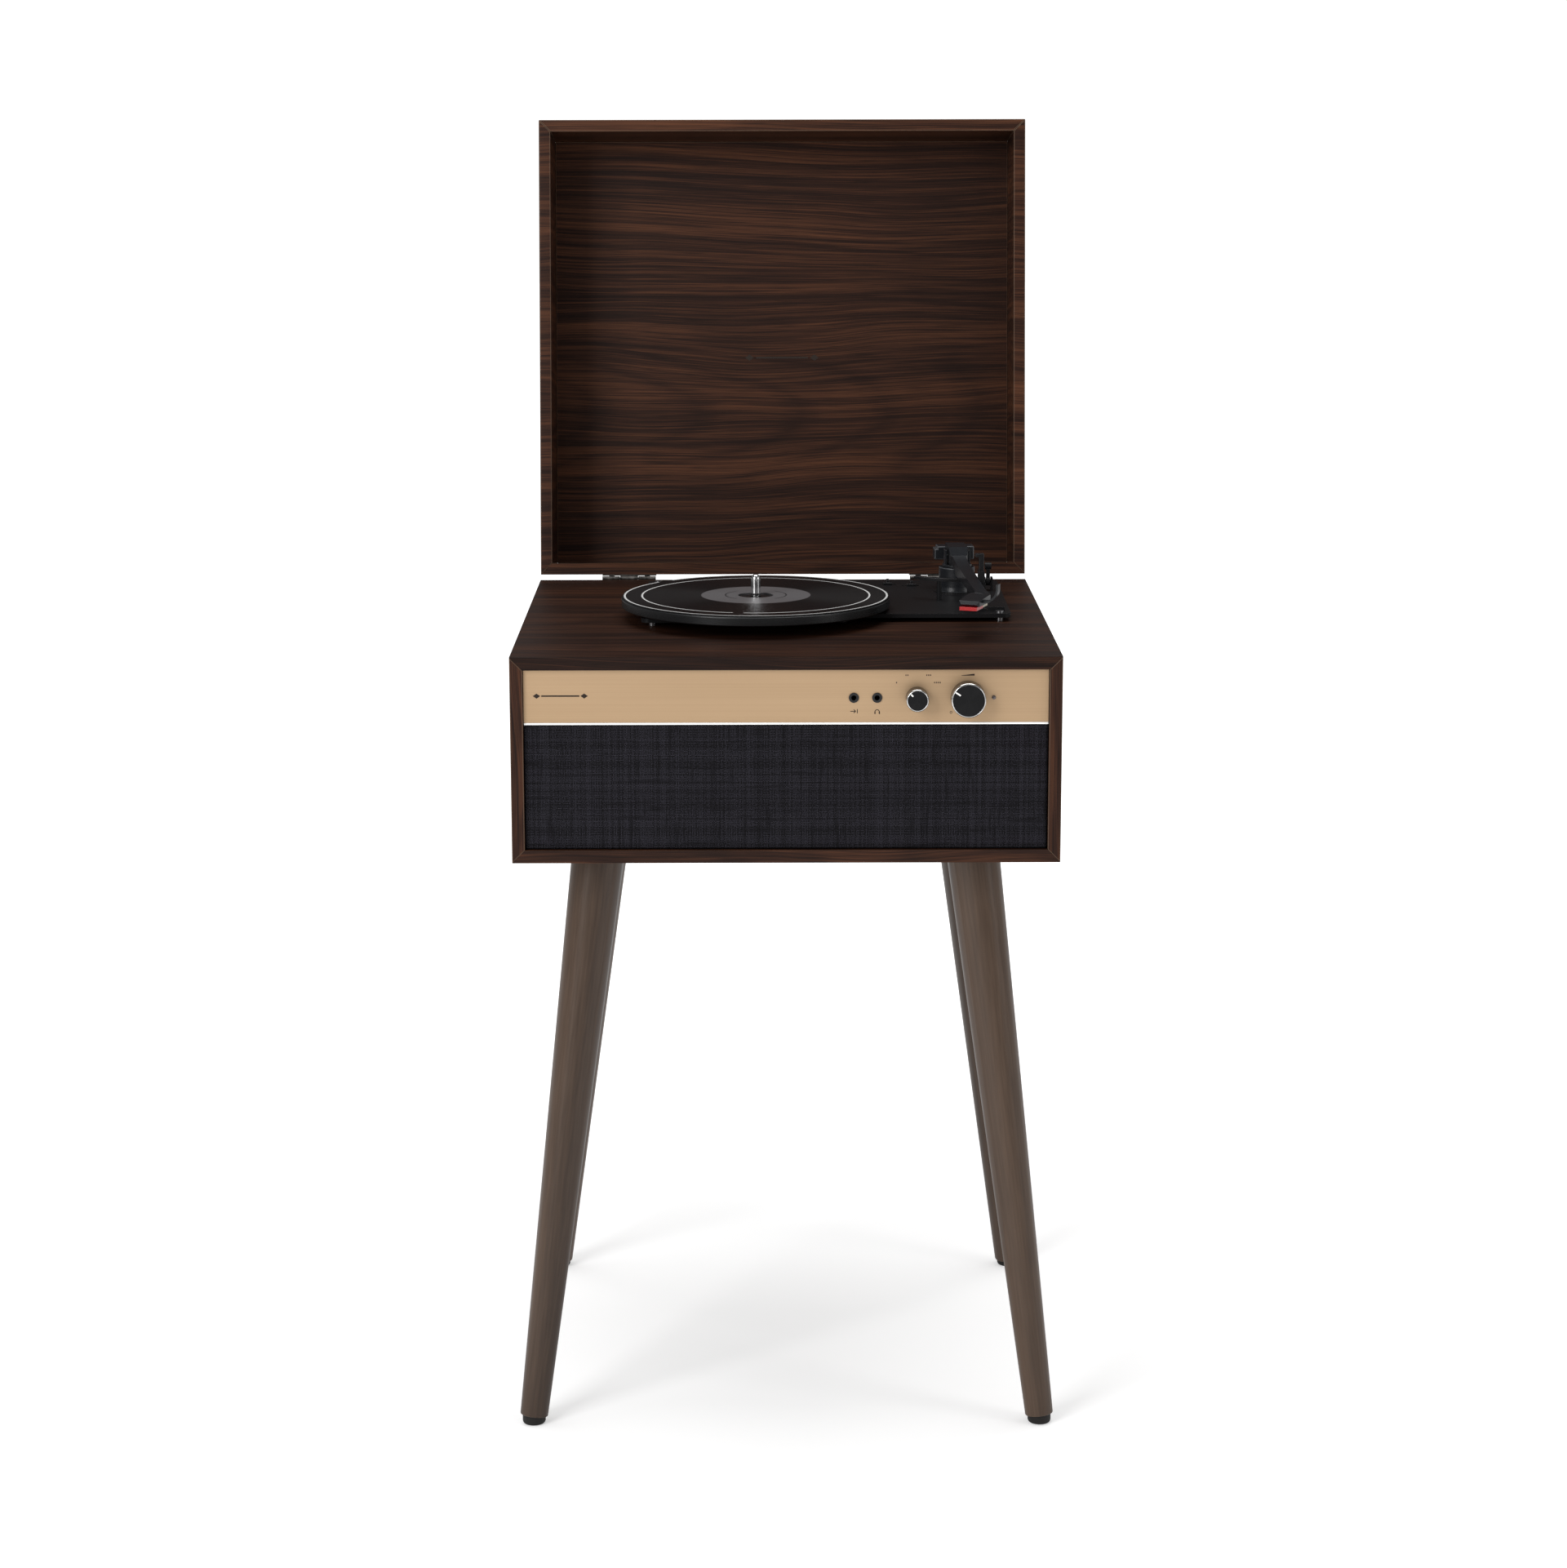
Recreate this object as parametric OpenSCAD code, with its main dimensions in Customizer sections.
// Record-player console: a shallow lidded box on four splayed legs, with a belt-driven
// three-speed deck on top, two loudspeakers behind a cloth grille and a control panel in front.
// Millimetres. X to the right, Y from the front to the back, Z up from the floor.

/* [Case] */
// Width of the case and of the lid
case_w = 381; // [370:1:400]
// Depth of the case and of the lid, front to back
case_d = 355.6; // [350:1:380]
// Height of the case without its legs
case_h = 145; // [140:1:170]
// Thickness of the case boards and lid walls
board = 9; // [8:0.5:10]
// Depth that the front panel and grille sit back from the case edge
front_recess = 3; // [2:0.5:5]

/* [Legs] */
// Height of the legs, floor to underside of the case
leg_h = 416; // [300:1:480]
// Sideways distance from the middle to the top of a leg's axis
leg_top_x = 132.5; // [110:0.5:140]
// Inset of the top of a leg's axis from the front or back of the case
leg_top_inset = 61; // [45:1:80]
// Sideways distance from the middle to the foot of a leg's axis
leg_foot_x = 182.5; // [150:0.5:190]
// Inset of the foot of a leg's axis from the front or back of the case
leg_foot_inset = 11; // [5:1:40]
// Radius of a leg at the top
leg_r_top = 19; // [16:0.5:22]
// Radius of a leg at the foot
leg_r_foot = 10; // [9:0.5:14]

/* [Lid] */
// Height of the lid when it is shut
lid_h = 75; // [70:1:90]
// Thickness of the panel that closes the lid
lid_panel_t = 6; // [4:0.5:9]
// Angle that the lid is drawn open, where its hinges stop it
lid_angle = 98.3; // [90:0.1:105]
// Gap between the lid and the case when shut
lid_gap = 1; // [0.8:0.1:2]

/* [Front panel] */
// Height of the control panel
panel_h = 37.2; // [34:0.1:42]
// Height of the bright trim strip below it
trim_h = 1.5; // [1:0.1:3]
// Depth of the control centres below the top of the case
control_drop = 29; // [27:0.5:30]
// Radius of the volume knob
volume_r = 12; // [10:0.5:12.5]
// Radius of the selector knob
selector_r = 7.8; // [7:0.1:9]

/* [Deck] */
// Sideways place of the record spindle
spindle_x = -21; // [-25:0.5:-18]
// Distance of the record spindle from the front of the case
spindle_from_front = 172; // [168:0.5:178]
// Radius of the platter
platter_r = 98.5; // [96:0.5:100]
// Radius of the record spindle
spindle_r = 3.6; // [3.5:0.05:3.65]

/* [Hidden] */
$fn = 72;
eps = 0.01;

// Lid hinge line: behind the back of the case, level with the joint between case and lid.
hinge_out = 3.2;
knob_out = 10;
lid_back_reach = (lid_gap / 2 + lid_h) * sin(lid_angle) - (case_d + hinge_out) * cos(lid_angle);
depth_all = knob_out + case_d + hinge_out + lid_back_reach;
y_front = knob_out - depth_all / 2;
y_back = y_front + case_d;
z_case = leg_h;
z_top = leg_h + case_h;
hinge_y = y_back + hinge_out;
hinge_z = z_top + lid_gap / 2;

// Inside of the case.
in_w = case_w - 2 * board;
in_h = case_h - 2 * board;
back_t = 4;
back_inset = 6;

// Front: control panel, trim strip and grille, from the top down.
panel_t = 3;
panel_y = y_front + front_recess;
fit = 0.4;
face_w = in_w - 2 * fit;
panel_z = z_top - board - panel_h;
trim_z = panel_z - trim_h;
grille_h = case_h - 2 * board - panel_h - trim_h;
grille_z = z_case + board;
control_z = z_top - control_drop;
front_board_y = panel_y + panel_t;
front_board_t = 9;
cloth_t = 0.8;
speaker_x = 105;
speaker_z = grille_z + grille_h / 2;
speaker_hole_r = 35;
speaker_r = 38.5;
speaker_y = front_board_y + front_board_t;

// Controls on the front panel.
jack_xs = [46.7, 62.8];
selector_x = 90.2;
volume_x = 125.3;
led_x = 143.3;
jack_bore_r = 1.8;
jack_bore_depth = 14;
shaft_r = 3;
run = 0.05;
knob_back_gap = 0.8;
knob_front_y = y_front - knob_out;
knob_back_y = panel_y - knob_back_gap;
bush_r = 3.6;

// Back panel sockets.
back_y = y_back - back_inset - back_t;
phono_xs = [60, 78];
inlet_x = 110;
socket_z = z_case + 60;
socket_r = 4.2;
inlet_r = 4;
back_screw_pos = [for (x = [-165, 0, 165]) for (z = [z_case + 14, z_top - 14]) [x, z]];

// Legs: each corner is [side, end]; side -1 is left, end 0 is the front and 1 the back.
corners = [[-1, 0], [1, 0], [-1, 1], [1, 1]];
leg_end_z = 6;
bolt_r = 4;
bolt_in_leg = 35;
plate_w = 56;
plate_t = 2.5;
plate_screw = 21;
glide_r = 8.3;

// Hinges.
hinge_x = 121;
leaf_w = 42;
leaf_t = 1;
barrel_r = 1.9;
pin_r = 0.9;
knuckle_gap = 0.3;
leaf_screw_xs = [-14, 0, 14];
leaf_screw_r = 1.25;
leaf_screw_l = 7;
lid_leaf_h = 18;
lid_z = z_top + lid_gap;

// Deck heights above the case top.
deck_gap = 3;
deck_t = 3;
plate_z = z_top + deck_gap;
deck_z = plate_z + deck_t;
spindle_y = y_front + spindle_from_front;
mat_t = 1;
mat_z = z_top + 15.5;
mat_top = mat_z + mat_t;
platter_low = z_top + 9;
flange_r = 72;
flange_t = 2;
hub_r = 9;
spindle_top = z_top + 32;
spindle_low = z_top - 12;
bearing_r = spindle_r + 0.4;
pin_low = mat_z + 0.5;
motor_dist = 82;
motor_angle = 145;
motor_x = spindle_x + motor_dist * cos(motor_angle);
motor_y = spindle_y + motor_dist * sin(motor_angle);
motor_r = 17;
motor_h = 22;
motor_shaft_r = 1;
pulley_r = 5;
belt_z = z_top + 9.8;
belt_h = 3;
belt_t = 0.6;
belt_gap = 0.3;
deck_left = -104;
deck_right = 165;
deck_back_y = y_front + 312;
deck_front_right = y_front + 148;
deck_front_left = y_front + 128;
deck_corner_r = 6;
deck_screw_r = 1.5;
deck_post_r = 2.5;
deck_screw_pos = [[157, 155], [157, 304], [-96, 136], [-96, 304]];

// Tonearm: upright pivot at the back right, parked on its rest and pointing to the front.
arm_x = 131;
arm_y = y_front + 255;
park_angle = 3.6;
pillar_r = 13.5;
pillar_top = z_top + 25;
pivot_r = 3;
axle_z = z_top + 33;
axle_r = 1.5;
arm_low = z_top + 23;
head_at = 152;
head_angle = 24;
head_len = 32;
stylus_at = 27;
tip_z = z_top + 18.7;
rest_at = 92;
lifter_r = 45;
lifter_top = arm_low - 0.4;
lifter_angle = 250;
lifter_post_r = 1.8;
cue_x = 155;
cue_y = y_front + 260;
cue_z = z_top + 13;
cue_axle_r = 1.2;
cue_grip = 11.6;
clip_x = 7;
clip_z = z_top + 33.5;
clip_pin_r = 0.8;

// Speed and automatic-stop sliders behind the platter.
speed_pos = [80, 290];
stop_pos = [98, 284];

function corner_y(end, inset) = end == 0 ? y_front + inset : y_back - inset;
function leg_top(c) = [c[0] * leg_top_x, corner_y(c[1], leg_top_inset), leg_h];
function leg_foot(c) = [c[0] * leg_foot_x, corner_y(c[1], leg_foot_inset), 0];
function leg_at(c, z) = leg_foot(c) + (leg_top(c) - leg_foot(c)) * z / leg_h;

// Places its children with their Z axis along the line from a to b.
module along(a, b) {
    d = b - a;
    translate(a) rotate([0, acos(d[2] / norm(d)), atan2(d[1], d[0])]) children();
}

// A cylinder along +Y that starts at y.
module rod_y(x, y, z, r, l) {
    translate([x, y, z]) rotate([-90, 0, 0]) cylinder(r = r, h = l);
}

// Extrudes an outline drawn in X and Z from y towards the back.
module extrude_y(y, l) {
    translate([0, y + l, 0]) rotate([90, 0, 0]) linear_extrude(l) children();
}

module rounded(w, d, r) {
    translate([r, 0]) square([w - 2 * r, d]);
    translate([0, r]) square([w, d - 2 * r]);
    for (x = [r, w - r]) for (y = [r, d - r]) translate([x, y]) circle(r);
}

// Outline of one of four mitred boards round a w by h rectangle; 0 low, 1 right, 2 high, 3 left.
module mitred(w, h, side) {
    t = board;
    flat = [[-w / 2, 0], [w / 2, 0], [w / 2 - t, t], [t - w / 2, t]];
    up = [[w / 2, 0], [w / 2, h], [w / 2 - t, h - t], [w / 2 - t, t]];
    if (side == 0) polygon(flat);
    if (side == 1) polygon(up);
    if (side == 2) translate([0, h]) mirror([0, 1]) polygon(flat);
    if (side == 3) mirror([1, 0]) polygon(up);
}

module case_board(side) {
    translate([0, 0, z_case]) extrude_y(y_front, case_d) mitred(case_w, case_h, side);
}

// ---------- Case ----------

module case_top() {
    through = board + 2 * eps;
    color("#2b1d18") difference() {
        case_board(2);
        translate([motor_x, motor_y, z_top - board - eps]) cylinder(r = motor_r + 4, h = through);
        translate([spindle_x, spindle_y, z_top - board - eps]) cylinder(r = 14, h = through);
        translate([arm_x - 35, arm_y - 30, z_top - board - eps]) cube([60, 55, through]);
        for (p = deck_screw_pos)
            translate([p[0], y_front + p[1], z_top - board - eps]) cylinder(r = deck_screw_r, h = through);
        at_hinges() for (x = leaf_screw_xs)
            rod_y(x, y_back - leaf_screw_l, leaf_screw_z(-1), leaf_screw_r, leaf_screw_l + eps);
    }
}

module leg_bolt_shape(c) {
    along(leg_at(c, leg_h - bolt_in_leg), leg_top(c)) cylinder(r = bolt_r, h = bolt_in_leg + 17);
}

module plate_screw_places(c) {
    for (x = [-1, 1]) for (y = [-1, 1])
        translate(leg_top(c) + [x * plate_screw, y * plate_screw, board]) children();
}

module case_bottom() {
    color("#3a2a24") difference() {
        case_board(0);
        for (c = corners) {
            leg_bolt_shape(c);
            plate_screw_places(c) translate([0, 0, -6]) cylinder(r = 1.6, h = 6 + eps);
        }
    }
}

module case_left() {
    color("#3a2a24") case_board(3);
}

module case_right() {
    color("#3a2a24") case_board(1);
}

module case_back() {
    color("#1c1c1e") difference() {
        translate([-face_w / 2, back_y, z_case + board + fit]) cube([face_w, back_t, in_h - 2 * fit]);
        for (x = phono_xs) rod_y(x, back_y - eps, socket_z, socket_r, back_t + 2 * eps);
        rod_y(inlet_x, back_y - eps, socket_z, inlet_r, back_t + 2 * eps);
        for (p = back_screw_pos) rod_y(p[0], back_y - eps, p[1], 1.6, back_t + 2 * eps);
        for (i = [-5 : 5]) translate([i * 12 - 62, back_y - eps, z_case + 90]) cube([4, back_t + 1, 24]);
    }
}

// Screws that hold the back panel, and those of the hinge leaves on the case.
module case_screws() {
    color("#b8b8b8") {
        for (p = back_screw_pos) {
            rod_y(p[0], back_y - 6, p[1], 1.6, 6 + back_t);
            rod_y(p[0], back_y + back_t, p[1], 3.2, 1.6);
        }
        at_hinges() leaf_screw(-1);
    }
}

// ---------- Front ----------

module front_board() {
    color("#151516") difference() {
        translate([-face_w / 2, front_board_y, z_case + board + fit])
            cube([face_w, front_board_t, in_h - 2 * fit]);
        for (s = [-1, 1])
            rod_y(s * speaker_x, front_board_y - eps, speaker_z, speaker_hole_r, front_board_t + 1);
        for (w = [[jack_xs[0] - 9, 34], [selector_x - 11, 22], [volume_x - 12, 26]])
            translate([w[0], front_board_y - eps, control_z - 11]) cube([w[1], front_board_t + 1, 22]);
        for (s = [-1, 1]) speaker_screws(s, 1.5);
    }
}

module control_panel() {
    color("#bfa27c") difference() {
        translate([-face_w / 2, panel_y, panel_z]) cube([face_w, panel_t, panel_h - fit]);
        for (x = jack_xs) rod_y(x, panel_y - eps, control_z, 3.1, panel_t + 1);
        for (x = [selector_x, volume_x]) rod_y(x, panel_y - eps, control_z, bush_r, panel_t + 1);
        rod_y(led_x, panel_y - eps, control_z, 1.5, panel_t + 1);
    }
}

module trim_strip() {
    color("#e8e6e0") translate([-face_w / 2, panel_y - 0.6, trim_z]) cube([face_w, panel_t + 0.6, trim_h]);
}

module grille_frame() {
    bar = 10;
    color("#222224") difference() {
        translate([-face_w / 2, panel_y + cloth_t, grille_z + fit])
            cube([face_w, panel_t - cloth_t, grille_h - 2 * fit]);
        for (i = [0 : 3]) {
            gap_w = (face_w - 5 * bar) / 4;
            translate([-face_w / 2 + bar + i * (gap_w + bar), panel_y, grille_z + bar])
                cube([gap_w, panel_t + 1, grille_h - 2 * bar]);
        }
    }
}

module grille_cloth() {
    color("#26262a") translate([-face_w / 2, panel_y, grille_z + fit])
        cube([face_w, cloth_t, grille_h - 2 * fit]);
}

module speaker_screws(side, r) {
    pitch_r = 36.8;
    for (a = [45 : 90 : 315]) translate([pitch_r * cos(a), 0, pitch_r * sin(a)])
        rod_y(side * speaker_x, front_board_y + 3, speaker_z, r, front_board_t - 3 + eps);
}

// One loudspeaker frame with its magnet, turned about its own axis.
module speaker(side) {
    color("#303236") translate([side * speaker_x, speaker_y, speaker_z]) rotate([-90, 0, 0]) {
        rotate_extrude() polygon([[33, 0], [speaker_r, 0], [speaker_r, 2], [36, 2], [25, 18], [25, 32],
            [0, 32], [0, 28], [8, 28], [8, 20], [22, 20], [33, 3]]);
    }
    color("#b8b8b8") speaker_screws(side, 1.5);
}

module speaker_left() {
    speaker(-1);
}

module speaker_right() {
    speaker(1);
}

module speaker_cones() {
    color("#141414") for (s = [-1, 1]) translate([s * speaker_x, speaker_y, speaker_z]) rotate([-90, 0, 0])
        rotate_extrude() polygon([[0, 9], [7, 11], [8, 14], [29, 1], [31, -1.5], [32.7, 0], [32.7, 1.2],
            [31, 0], [29.5, 2.5], [9, 17], [7.5, 18.5], [7, 27], [5, 27], [5, 13], [0, 11]]);
}

// ---------- Electronics ----------

module amp_board() {
    y = speaker_y + 3;
    color("#2f6b3c") translate([36, y, control_z - 17]) cube([120, 1.6, 32]);
    color("#202428") {
        rod_y(60, y + 1.6, control_z - 8, 5, 12);
        rod_y(76, y + 1.6, control_z - 8, 5, 12);
        translate([96, y + 1.6, control_z - 12]) cube([22, 6, 14]);
        translate([128, y + 1.6, control_z - 12]) cube([14, 2, 14]);
    }
}

module pot_shape(x, body_r, body_l) {
    difference() {
        union() {
            rod_y(x, front_board_y, control_z, body_r, body_l);
            rod_y(x, panel_y - 2, control_z, bush_r, panel_t + 2 + eps);
        }
        rod_y(x, panel_y - 3, control_z, shaft_r + run, panel_t + 9);
    }
}

module selector_switch() {
    color("#9a9a9a") pot_shape(selector_x, 8, 11);
}

module volume_pot() {
    color("#9a9a9a") pot_shape(volume_x, 8.5, 11);
}

module front_jacks() {
    color("#1b1b1d") for (x = jack_xs) difference() {
        union() {
            rod_y(x, panel_y - 0.8, control_z, 3.5, 0.8);
            rod_y(x, panel_y - eps, control_z, 3.1, panel_t + 2 * eps);
            translate([x - 5.5, front_board_y, control_z - 6]) cube([11, 11.5, 12]);
        }
        rod_y(x, panel_y - 1, control_z, jack_bore_r, jack_bore_depth);
    }
}

module power_led() {
    color("#e8e8f2") {
        rod_y(led_x, panel_y - 0.2, control_z, 1.5, panel_t + 0.2);
        translate([led_x, panel_y - 0.2, control_z]) intersection() {
            sphere(r = 1.5);
            translate([-2, -2, -2]) cube([4, 2, 4]);
        }
    }
}

module rear_sockets() {
    color("#2a2a2c") {
        for (x = phono_xs) difference() {
            union() {
                rod_y(x, back_y, socket_z, socket_r, back_t + 7);
                translate([x - 6, back_y - 10, socket_z - 7]) cube([12, 10, 14]);
            }
            rod_y(x, back_y + back_t - 3, socket_z, 1.6, 11);
        }
        difference() {
            union() {
                rod_y(inlet_x, back_y, socket_z, inlet_r, back_t + 2);
                translate([inlet_x - 5, back_y - 10, socket_z - 5]) cube([10, 10, 10]);
            }
            rod_y(inlet_x, back_y - 5, socket_z, 2.75, 12);
        }
    }
}

// ---------- Legs ----------

module leg_solid(c) {
    foot = leg_at(c, leg_end_z);
    span = norm(leg_top(c) - foot);
    spare = 8;
    r_end = leg_r_top + (leg_r_top - leg_r_foot) * spare / span;
    intersection() {
        along(foot, leg_top(c)) cylinder(r1 = leg_r_foot, r2 = r_end, h = span + spare);
        translate([-case_w, y_front - 50, 0]) cube([2 * case_w, case_d + 100, leg_h]);
    }
}

module leg(i) {
    c = corners[i];
    color("#4b3c34") difference() {
        leg_solid(c);
        leg_bolt_shape(c);
    }
}

module leg_front_left() {
    leg(0);
}

module leg_front_right() {
    leg(1);
}

module leg_back_left() {
    leg(2);
}

module leg_back_right() {
    leg(3);
}

// Steel plates inside the case, screwed to its floor; each carries one leg bolt.
module leg_plates() {
    color("#8c8f94") for (c = corners) {
        difference() {
            translate([leg_top(c)[0] - plate_w / 2, leg_top(c)[1] - plate_w / 2, z_case + board])
                cube([plate_w, plate_w, plate_t]);
            leg_bolt_shape(c);
            plate_screw_places(c) translate([0, 0, -eps]) cylinder(r = 1.6, h = plate_t + 2 * eps);
        }
        plate_screw_places(c) {
            translate([0, 0, -6]) cylinder(r = 1.6, h = 6 + plate_t);
            translate([0, 0, plate_t]) cylinder(r = 3.2, h = 1.6);
        }
    }
}

module leg_bolts() {
    color("#a8a8a8") for (c = corners) leg_bolt_shape(c);
}

module leg_glides() {
    color("#191512") for (c = corners) {
        foot = leg_at(c, leg_end_z);
        difference() {
            translate([foot[0], foot[1], 0]) rotate_extrude() polygon([[0, 0], [glide_r - 2, 0],
                [glide_r - 0.6, 0.6], [glide_r, 2], [glide_r, 9], [0, 9]]);
            along(foot, leg_top(c)) cylinder(r = 20, h = 20);
        }
    }
}

// ---------- Hinges ----------

// Knuckles, leaf and the web between them; the leaf lies on the back face, up (1) or down (-1).
module hinge_leaf(way, low, high, knuckles) {
    for (k = knuckles) difference() {
        union() {
            translate([k[0], hinge_y, hinge_z]) rotate([0, 90, 0]) cylinder(r = barrel_r, h = k[1]);
            translate([k[0], y_back, way > 0 ? hinge_z + barrel_r - 1 : hinge_z - barrel_r])
                cube([k[1], hinge_out, 1]);
        }
        translate([k[0] - 1, hinge_y, hinge_z]) rotate([0, 90, 0]) cylinder(r = pin_r + run, h = k[1] + 2);
    }
    difference() {
        translate([-leaf_w / 2, y_back, min(low, high)]) cube([leaf_w, leaf_t, abs(high - low)]);
        for (x = leaf_screw_xs) rod_y(x, y_back - eps, leaf_screw_z(way), leaf_screw_r, leaf_t + 1);
    }
}

function leaf_screw_z(way) = way > 0 ? lid_z + 11 : z_top - board / 2;

module at_hinges() {
    for (s = [-1, 1]) translate([s * hinge_x, 0, 0]) children();
}

module hinge_case_leaves() {
    third = leaf_w / 3;
    color("#6b5a3a") at_hinges()
        hinge_leaf(-1, z_top - board + 0.5, hinge_z - barrel_r + 1,
            [[-leaf_w / 2, third - knuckle_gap], [leaf_w / 2 - third + knuckle_gap, third - knuckle_gap]]);
}

module hinge_lid_leaves() {
    third = leaf_w / 3;
    color("#6b5a3a") open_lid() at_hinges()
        hinge_leaf(1, hinge_z + barrel_r - 1, lid_z + lid_leaf_h, [[-third / 2, third]]);
}

module hinge_pins() {
    color("#b0a070") at_hinges() translate([-leaf_w / 2, hinge_y, hinge_z]) rotate([0, 90, 0])
        cylinder(r = pin_r, h = leaf_w);
}

module leaf_screw(way) {
    for (x = leaf_screw_xs) {
        rod_y(x, y_back - leaf_screw_l, leaf_screw_z(way), leaf_screw_r, leaf_screw_l + leaf_t);
        rod_y(x, y_back + leaf_t, leaf_screw_z(way), 2.2, 0.7);
    }
}

module hinge_lid_screws() {
    color("#b0a070") open_lid() at_hinges() leaf_screw(1);
}

// ---------- Lid, drawn shut and then swung open about the hinge line ----------

module open_lid() {
    translate([0, hinge_y, hinge_z]) rotate([-lid_angle, 0, 0]) translate([0, -hinge_y, -hinge_z]) children();
}

module lid_wall(side) {
    open_lid() difference() {
        translate([0, y_front, lid_z]) linear_extrude(lid_h) mitred(case_w, case_d, side);
        if (side == 2) at_hinges() for (x = leaf_screw_xs)
            rod_y(x, y_back - leaf_screw_l, leaf_screw_z(1), leaf_screw_r, leaf_screw_l + eps);
    }
}

module lid_panel() {
    color("#32201a") open_lid()
        translate([-in_w / 2, y_front + board, lid_z + lid_h - lid_panel_t])
            cube([in_w, case_d - 2 * board, lid_panel_t]);
}

module lid_front() {
    color("#3c2a24") lid_wall(0);
}

module lid_back() {
    color("#3c2a24") lid_wall(2);
}

module lid_left() {
    color("#3c2a24") lid_wall(3);
}

module lid_right() {
    color("#3c2a24") lid_wall(1);
}

// ---------- Knobs ----------

// A turned knob with its shaft: hollow behind so that it clears the threaded bush.
module knob(x, r) {
    color("#101012") translate([x, 0, control_z]) rotate([-90, 0, 0]) {
        rotate_extrude() polygon([[0, knob_front_y], [r - 1, knob_front_y], [r - 1, knob_front_y + 1.4],
            [r, knob_front_y + 1.4], [r, knob_back_y], [bush_r + 1, knob_back_y],
            [bush_r + 1, knob_back_y - 3], [shaft_r, knob_back_y - 3],
            [shaft_r, front_board_y + 4], [0, front_board_y + 4]]);
    }
    color("white") translate([x, knob_front_y, control_z]) rotate([0, pointer_angle(x), 0])
        translate([-0.5, -0.3, r * 0.56]) cube([1, 0.6, r * 0.44 - 1.2]);
}

function pointer_angle(x) = x == volume_x ? -57 : -45;

module knob_ring(x, r) {
    color("#d8d8d8") translate([x, 0, control_z]) rotate([-90, 0, 0])
        rotate_extrude() polygon([[r - 1, knob_front_y], [r - 0.7, knob_front_y], [r, knob_front_y + 0.7],
            [r, knob_front_y + 1.4], [r - 1, knob_front_y + 1.4]]);
}

module selector_knob() {
    knob(selector_x, selector_r);
}

module selector_ring() {
    knob_ring(selector_x, selector_r);
}

module volume_knob() {
    knob(volume_x, volume_r);
}

module volume_ring() {
    knob_ring(volume_x, volume_r);
}

// ---------- Deck ----------

module deck_outline() {
    translate([deck_left, deck_front_right])
        rounded(deck_right - deck_left, deck_back_y - deck_front_right, deck_corner_r);
    translate([deck_left, deck_front_left]) rounded(150, 100, deck_corner_r);
}

module slider_slot(p) {
    translate([p[0] - 7, y_front + p[1] - 1.6, plate_z - 1]) cube([14, 3.2, deck_t + 2]);
}

module deck_plate() {
    color("#18181a") difference() {
        union() {
            translate([0, 0, plate_z]) linear_extrude(deck_t) deck_outline();
            translate([deck_right - 16, deck_front_right + 12, deck_z]) cube([12, 5, 3]);
            translate([arm_x, arm_y, deck_z]) cylinder(r = pillar_r + 4, h = 1);
            for (x = [cue_x - 3.5, cue_x + 2])
                translate([x, cue_y - 4, deck_z - eps]) cube([1.5, 8, cue_z + 3 - deck_z]);
        }
        translate([cue_x - 5, cue_y, cue_z]) rotate([0, 90, 0]) cylinder(r = cue_axle_r + run, h = 10);
        at_lifter_post() translate([0, 0, plate_z - 1]) cylinder(r = lifter_post_r + run, h = deck_t + 2);
        translate([spindle_x, spindle_y, plate_z - 1]) cylinder(r = 8, h = deck_t + 2);
        translate([motor_x, motor_y, plate_z - 1]) cylinder(r = 4, h = deck_t + 2);
        translate([arm_x, arm_y, plate_z - 1]) cylinder(r = 8, h = deck_t + 3);
        for (p = deck_screw_pos)
            translate([p[0], y_front + p[1], plate_z - 1]) cylinder(r = deck_screw_r, h = deck_t + 2);
        slider_slot(speed_pos);
        slider_slot(stop_pos);
    }
}

module at_deck_screws() {
    for (p = deck_screw_pos) translate([p[0], y_front + p[1], z_top]) children();
}

// Each mount is a screw through the deck with a spacer between the deck and the case top.
module deck_mounts() {
    color("#c8c8cc") at_deck_screws() {
        translate([0, 0, -board - 2]) cylinder(r = deck_screw_r, h = board + 2 + deck_gap + deck_t);
        cylinder(r = deck_post_r, h = deck_gap);
        translate([0, 0, deck_gap + deck_t]) cylinder(r = 3, h = 1.2);
    }
}

module motor() {
    color("#8a8c90") difference() {
        translate([motor_x, motor_y, plate_z - motor_h]) cylinder(r = motor_r, h = motor_h);
        translate([motor_x, motor_y, plate_z - motor_h + 4]) cylinder(r = motor_shaft_r + run, h = motor_h);
    }
}

module motor_pulley() {
    color("#c9b26a") translate([motor_x, motor_y, 0]) {
        translate([0, 0, plate_z - motor_h + 5]) cylinder(r = motor_shaft_r, h = motor_h + 4.8);
        translate([0, 0, belt_z - 2]) cylinder(r = pulley_r, h = belt_h + 2.4);
        translate([0, 0, belt_z - 2]) cylinder(r = pulley_r + 1.5, h = 1);
    }
}

// Points round the platter flange and the pulley, with its two straight runs tangent to both.
function belt_points(grow) = let (
    big = flange_r + belt_gap + grow,
    small = pulley_r + belt_gap + grow,
    lean = acos((flange_r - pulley_r) / motor_dist),
    step = (360 - 2 * lean) / 50,
    small_step = lean / 8
) [
    for (i = [0 : 50]) big * [cos(lean + i * step), sin(lean + i * step)],
    for (i = [-8 : 8]) [motor_dist, 0] + small * [cos(i * small_step), sin(i * small_step)]
];

module drive_belt() {
    color("#1e1a18") translate([spindle_x, spindle_y, belt_z]) rotate([0, 0, motor_angle])
        linear_extrude(belt_h) difference() {
            polygon(belt_points(belt_t));
            polygon(belt_points(0));
        }
}

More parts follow.
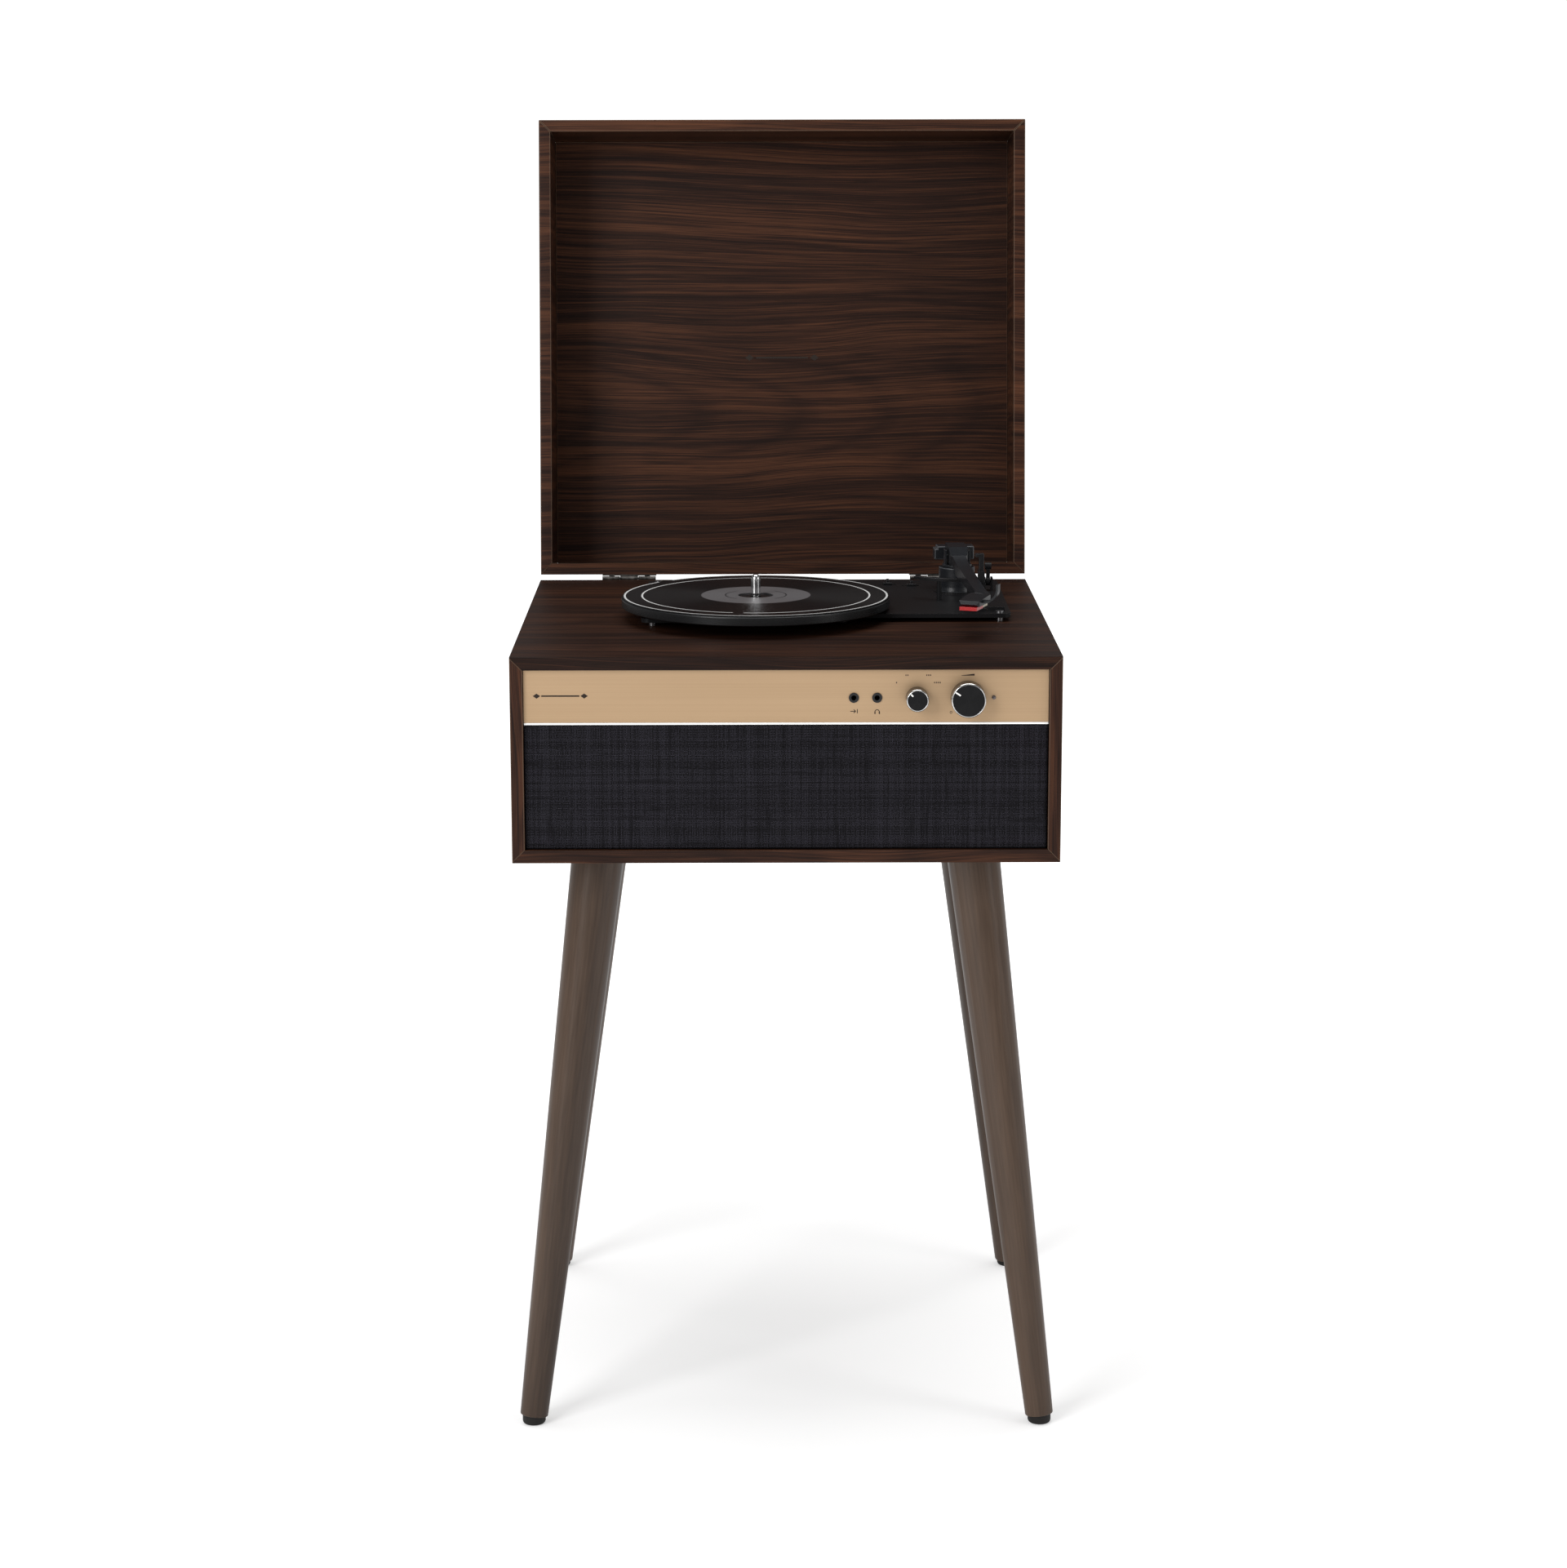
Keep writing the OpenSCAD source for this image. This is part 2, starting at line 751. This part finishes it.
// Fixed steel spindle in a flanged bearing that hangs under the deck plate.
module spindle() {
    color("#d5d5d8") translate([spindle_x, spindle_y, 0]) rotate_extrude() polygon([[0, spindle_low],
        [6, spindle_low], [6, plate_z - 2], [12, plate_z - 2], [12, plate_z], [8, plate_z], [8, deck_z - 0.5],
        [bearing_r, deck_z - 0.5], [bearing_r, mat_z - 0.5], [spindle_r - 0.6, mat_z - 0.5],
        [spindle_r - 0.6, pin_low], [spindle_r, pin_low],
        [spindle_r, spindle_top - 3.4], [3.1, spindle_top - 1.8], [1.8, spindle_top - 0.4],
        [0, spindle_top]]);
}

module platter() {
    low_hub = deck_z + 0.8;
    web = mat_z - 2;
    bore = bearing_r + run;
    in_r = flange_r - flange_t;
    rim_r = platter_r - 2.5;
    color("#232325") translate([spindle_x, spindle_y, 0]) rotate_extrude() polygon([[bore, low_hub],
        [hub_r, low_hub], [hub_r, web], [in_r, web], [in_r, platter_low], [flange_r, platter_low],
        [flange_r, web], [rim_r, web], [rim_r, platter_low + 1], [platter_r - 1, platter_low],
        [platter_r - 0.5, platter_low], [platter_r, platter_low + 0.5], [platter_r, mat_z - 0.6],
        [platter_r - 0.6, mat_z], [bore, mat_z]]);
}

module platter_mat() {
    color("#1a1a1b") translate([spindle_x, spindle_y, mat_z]) difference() {
        cylinder(r = platter_r - 0.7, h = mat_t);
        translate([0, 0, -1]) cylinder(r = 13, h = mat_t + 2);
    }
}

// ---------- Tonearm, drawn pointing to the front and turned to its parked angle ----------

module at_arm() {
    translate([arm_x, arm_y, 0]) rotate([0, 0, park_angle]) children();
}

module box_at(x0, x1, y0, y1, z0, z1) {
    translate([x0, y0, z0]) cube([x1 - x0, y1 - y0, z1 - z0]);
}

module arm_base() {
    color("#2b2f36") translate([arm_x, arm_y, 0]) difference() {
        union() {
            translate([0, 0, deck_z + 1]) cylinder(r1 = pillar_r + 1, r2 = pillar_r, h = 4);
            translate([0, 0, deck_z + 5 - eps]) cylinder(r = pillar_r, h = pillar_top - deck_z - 5 + eps);
            translate([0, 0, plate_z - 8]) cylinder(r = 8, h = deck_z + 2 - plate_z + 8);
        }
        translate([0, 0, plate_z - 9]) cylinder(r = pivot_r + run, h = 60);
    }
}

// Upright that turns in the base and carries the level axle on which the arm lifts.
module arm_yoke() {
    color("#202226") at_arm() difference() {
        union() {
            translate([0, 0, plate_z - 6]) cylinder(r = pivot_r, h = pillar_top + 0.4 - plate_z + 6);
            translate([0, 0, pillar_top + 0.3]) cylinder(r = 11, h = 1.7);
            for (s = [-1, 1]) box_at(s > 0 ? 8 : -9.6, s > 0 ? 9.6 : -8, -5, 5, pillar_top + 0.3, axle_z + 5);
        }
        translate([-20, 0, axle_z]) rotate([0, 90, 0]) cylinder(r = axle_r + run, h = 40);
    }
}

// Side outline of the arm up to the head: x towards the head, y up.
module arm_side() {
    polygon([[-16, axle_z - 5], [-16, axle_z + 8], [9, axle_z + 8], [12, axle_z + 2], [40, axle_z - 1],
        [140, z_top + 29], [160, z_top + 28.2], [160, arm_low], [30, arm_low], [20, axle_z - 5]]);
}

module arm_plan() {
    polygon([[-16, -7], [-16, 7], [10, 7], [16, 5], [142, 4], [head_at, 5], [head_at + 4, 0], [head_at, -5],
        [142, -4], [16, -5], [10, -7]]);
}

// The head bends inwards from the arm: x along the head, y to its right.
module at_head() {
    at_arm() rotate([0, 0, -90]) translate([head_at, 0, 0]) rotate([0, 0, -head_angle]) children();
}

module head_block() {
    intersection() {
        translate([0, 12, 0]) rotate([90, 0, 0]) linear_extrude(24) polygon([[-3, arm_low], [-3, z_top + 28.4],
            [8, z_top + 28.2], [head_len - 2, z_top + 27], [head_len, z_top + 24.5], [head_len - 2, arm_low]]);
        translate([0, 0, z_top]) linear_extrude(60) polygon([[-3, -4.5], [-3, 4.5], [5, 8], [head_len - 2, 7.6],
            [head_len, 5.6], [head_len, -5.6], [head_len - 2, -7.6], [5, -8]]);
    }
}

// Thin tab at the right of the head that curves out and up.
module finger_lift() {
    translate([18, 9, z_top + 35]) rotate([90, 0, 90]) linear_extrude(6) {
        intersection() {
            difference() {
                circle(10);
                circle(8.6);
            }
            translate([0, -11]) square(11);
        }
        translate([-3, -10]) square([3 + eps, 1.4]);
        translate([8.6, -eps]) square([1.4, 3.5]);
    }
}

module tonearm() {
    color("#1d1e22") {
        at_arm() {
            rotate([0, 0, -90]) intersection() {
                translate([0, 12, 0]) rotate([90, 0, 0]) linear_extrude(24) arm_side();
                translate([0, 0, z_top]) linear_extrude(60) arm_plan();
            }
            translate([-9.5, 0, axle_z]) rotate([0, 90, 0]) cylinder(r = axle_r, h = 19);
        }
        at_head() {
            head_block();
            finger_lift();
        }
    }
}

module arm_weight() {
    color("#26282d") at_arm() difference() {
        box_at(-15, 15, 16 + eps, 30, axle_z - 5, axle_z + 5);
        box_at(-20, -13, 12, 40, axle_z + 3, axle_z + 8);
    }
}

module cartridge() {
    color("#d9d4c4") at_head() box_at(4, 18, -5.6, 5.6, tip_z + 1.4, arm_low);
}

module stylus() {
    color("#c4101c") at_head() {
        box_at(18 + eps, head_len + 1, -6.4, 6.4, tip_z + 1.6, arm_low - 0.2);
        translate([stylus_at, 0, tip_z]) cylinder(r1 = 0.15, r2 = 1.2, h = 1.7);
    }
}

// Shelf and right-hand post that hold the parked arm.
module arm_rest() {
    color("#1b1b1d") at_arm() {
        box_at(-6, 10.5, -rest_at - 4, -rest_at + 4, deck_z, deck_z + 2);
        box_at(-3, 9, -rest_at - 3, -rest_at + 3, deck_z + 2 - eps, arm_low - 0.4);
        box_at(5, 9, -rest_at - 3, -rest_at + 3, arm_low - 0.5, clip_z - 5);
        for (y = [-rest_at - 4.5, -rest_at + 4.5]) box_at(5, 9, y - 0.9, y + 0.9, clip_z - 6, clip_z + 2);
        box_at(5, 9, -rest_at - 4, -rest_at + 4, clip_z - 6, clip_z - 3);
        translate([clip_x, -rest_at + 4.5, clip_z]) rotate([90, 0, 0]) cylinder(r = clip_pin_r, h = 9);
    }
}

// Hook that folds down over the arm; drawn standing up.
module arm_clip() {
    color("#151517") at_arm() difference() {
        union() {
            translate([clip_x, -rest_at + 3.2, clip_z]) rotate([90, 0, 0]) cylinder(r = 2, h = 6.4);
            box_at(clip_x - 1.6, clip_x + 1.6, -rest_at - 3.2, -rest_at + 3.2, clip_z, clip_z + 14.5);
            box_at(clip_x - 4.4, clip_x - 1.5, -rest_at - 3.2, -rest_at + 3.2, clip_z + 12.2, clip_z + 14.5);
        }
        translate([clip_x, -rest_at + 5, clip_z]) rotate([90, 0, 0]) cylinder(r = clip_pin_r + run, h = 10);
    }
}

// ---------- Cueing and switches ----------

module cue_lever() {
    color("#19191b") translate([cue_x, cue_y, cue_z]) {
        translate([-1.5, 0, 0]) rotate([0, 90, 0]) cylinder(r = 3.4, h = 3);
        translate([-3.5, 0, 0]) rotate([0, 90, 0]) cylinder(r = cue_axle_r, h = 7);
        box_at(-1.4, 1.4, -2, 1.4, 0, cue_grip);
        translate([-2.4, -0.3, cue_grip]) rotate([0, 90, 0]) cylinder(r = 2.6, h = 4.8);
    }
}

module at_lifter_post() {
    translate([arm_x, arm_y, 0]) rotate([0, 0, lifter_angle]) translate([lifter_r, 0, 0]) children();
}

// Curved rail under the arm on an upright that slides in the deck plate.
module cue_lifter() {
    color("#2a2a2d") {
        translate([arm_x, arm_y, lifter_top - 2.4]) rotate([0, 0, 224]) rotate_extrude(angle = 52, $fn = 180)
            translate([lifter_r - 2, 0]) square([4, 2.4]);
        at_lifter_post() translate([0, 0, plate_z]) cylinder(r = lifter_post_r, h = lifter_top - 2 - plate_z);
    }
}

module slider(p) {
    translate([p[0], y_front + p[1], 0]) {
        box_at(-1.6, 1.6, -1.3, 1.3, plate_z - 2, deck_z + 1);
        box_at(-3.5, 3.5, -4, 4, deck_z + 0.3, deck_z + 1.8);
        box_at(-1, 1, -3.4, 3.4, deck_z + 1.8 - eps, deck_z + 4);
    }
}

module speed_lever() {
    color("#2c2c30") slider(speed_pos);
}

module stop_lever() {
    color("#2c2c30") slider(stop_pos);
}

case_top();
case_bottom();
case_left();
case_right();
case_back();
case_screws();
front_board();
control_panel();
trim_strip();
grille_frame();
grille_cloth();
speaker_left();
speaker_right();
speaker_cones();
amp_board();
selector_switch();
volume_pot();
front_jacks();
power_led();
rear_sockets();
leg_front_left();
leg_front_right();
leg_back_left();
leg_back_right();
leg_plates();
leg_bolts();
leg_glides();
hinge_case_leaves();
hinge_lid_leaves();
hinge_pins();
hinge_lid_screws();
lid_panel();
lid_front();
lid_back();
lid_left();
lid_right();
selector_knob();
selector_ring();
volume_knob();
volume_ring();
deck_plate();
deck_mounts();
motor();
motor_pulley();
drive_belt();
spindle();
platter();
platter_mat();
arm_base();
arm_yoke();
tonearm();
arm_weight();
cartridge();
stylus();
arm_rest();
arm_clip();
cue_lever();
cue_lifter();
speed_lever();
stop_lever();
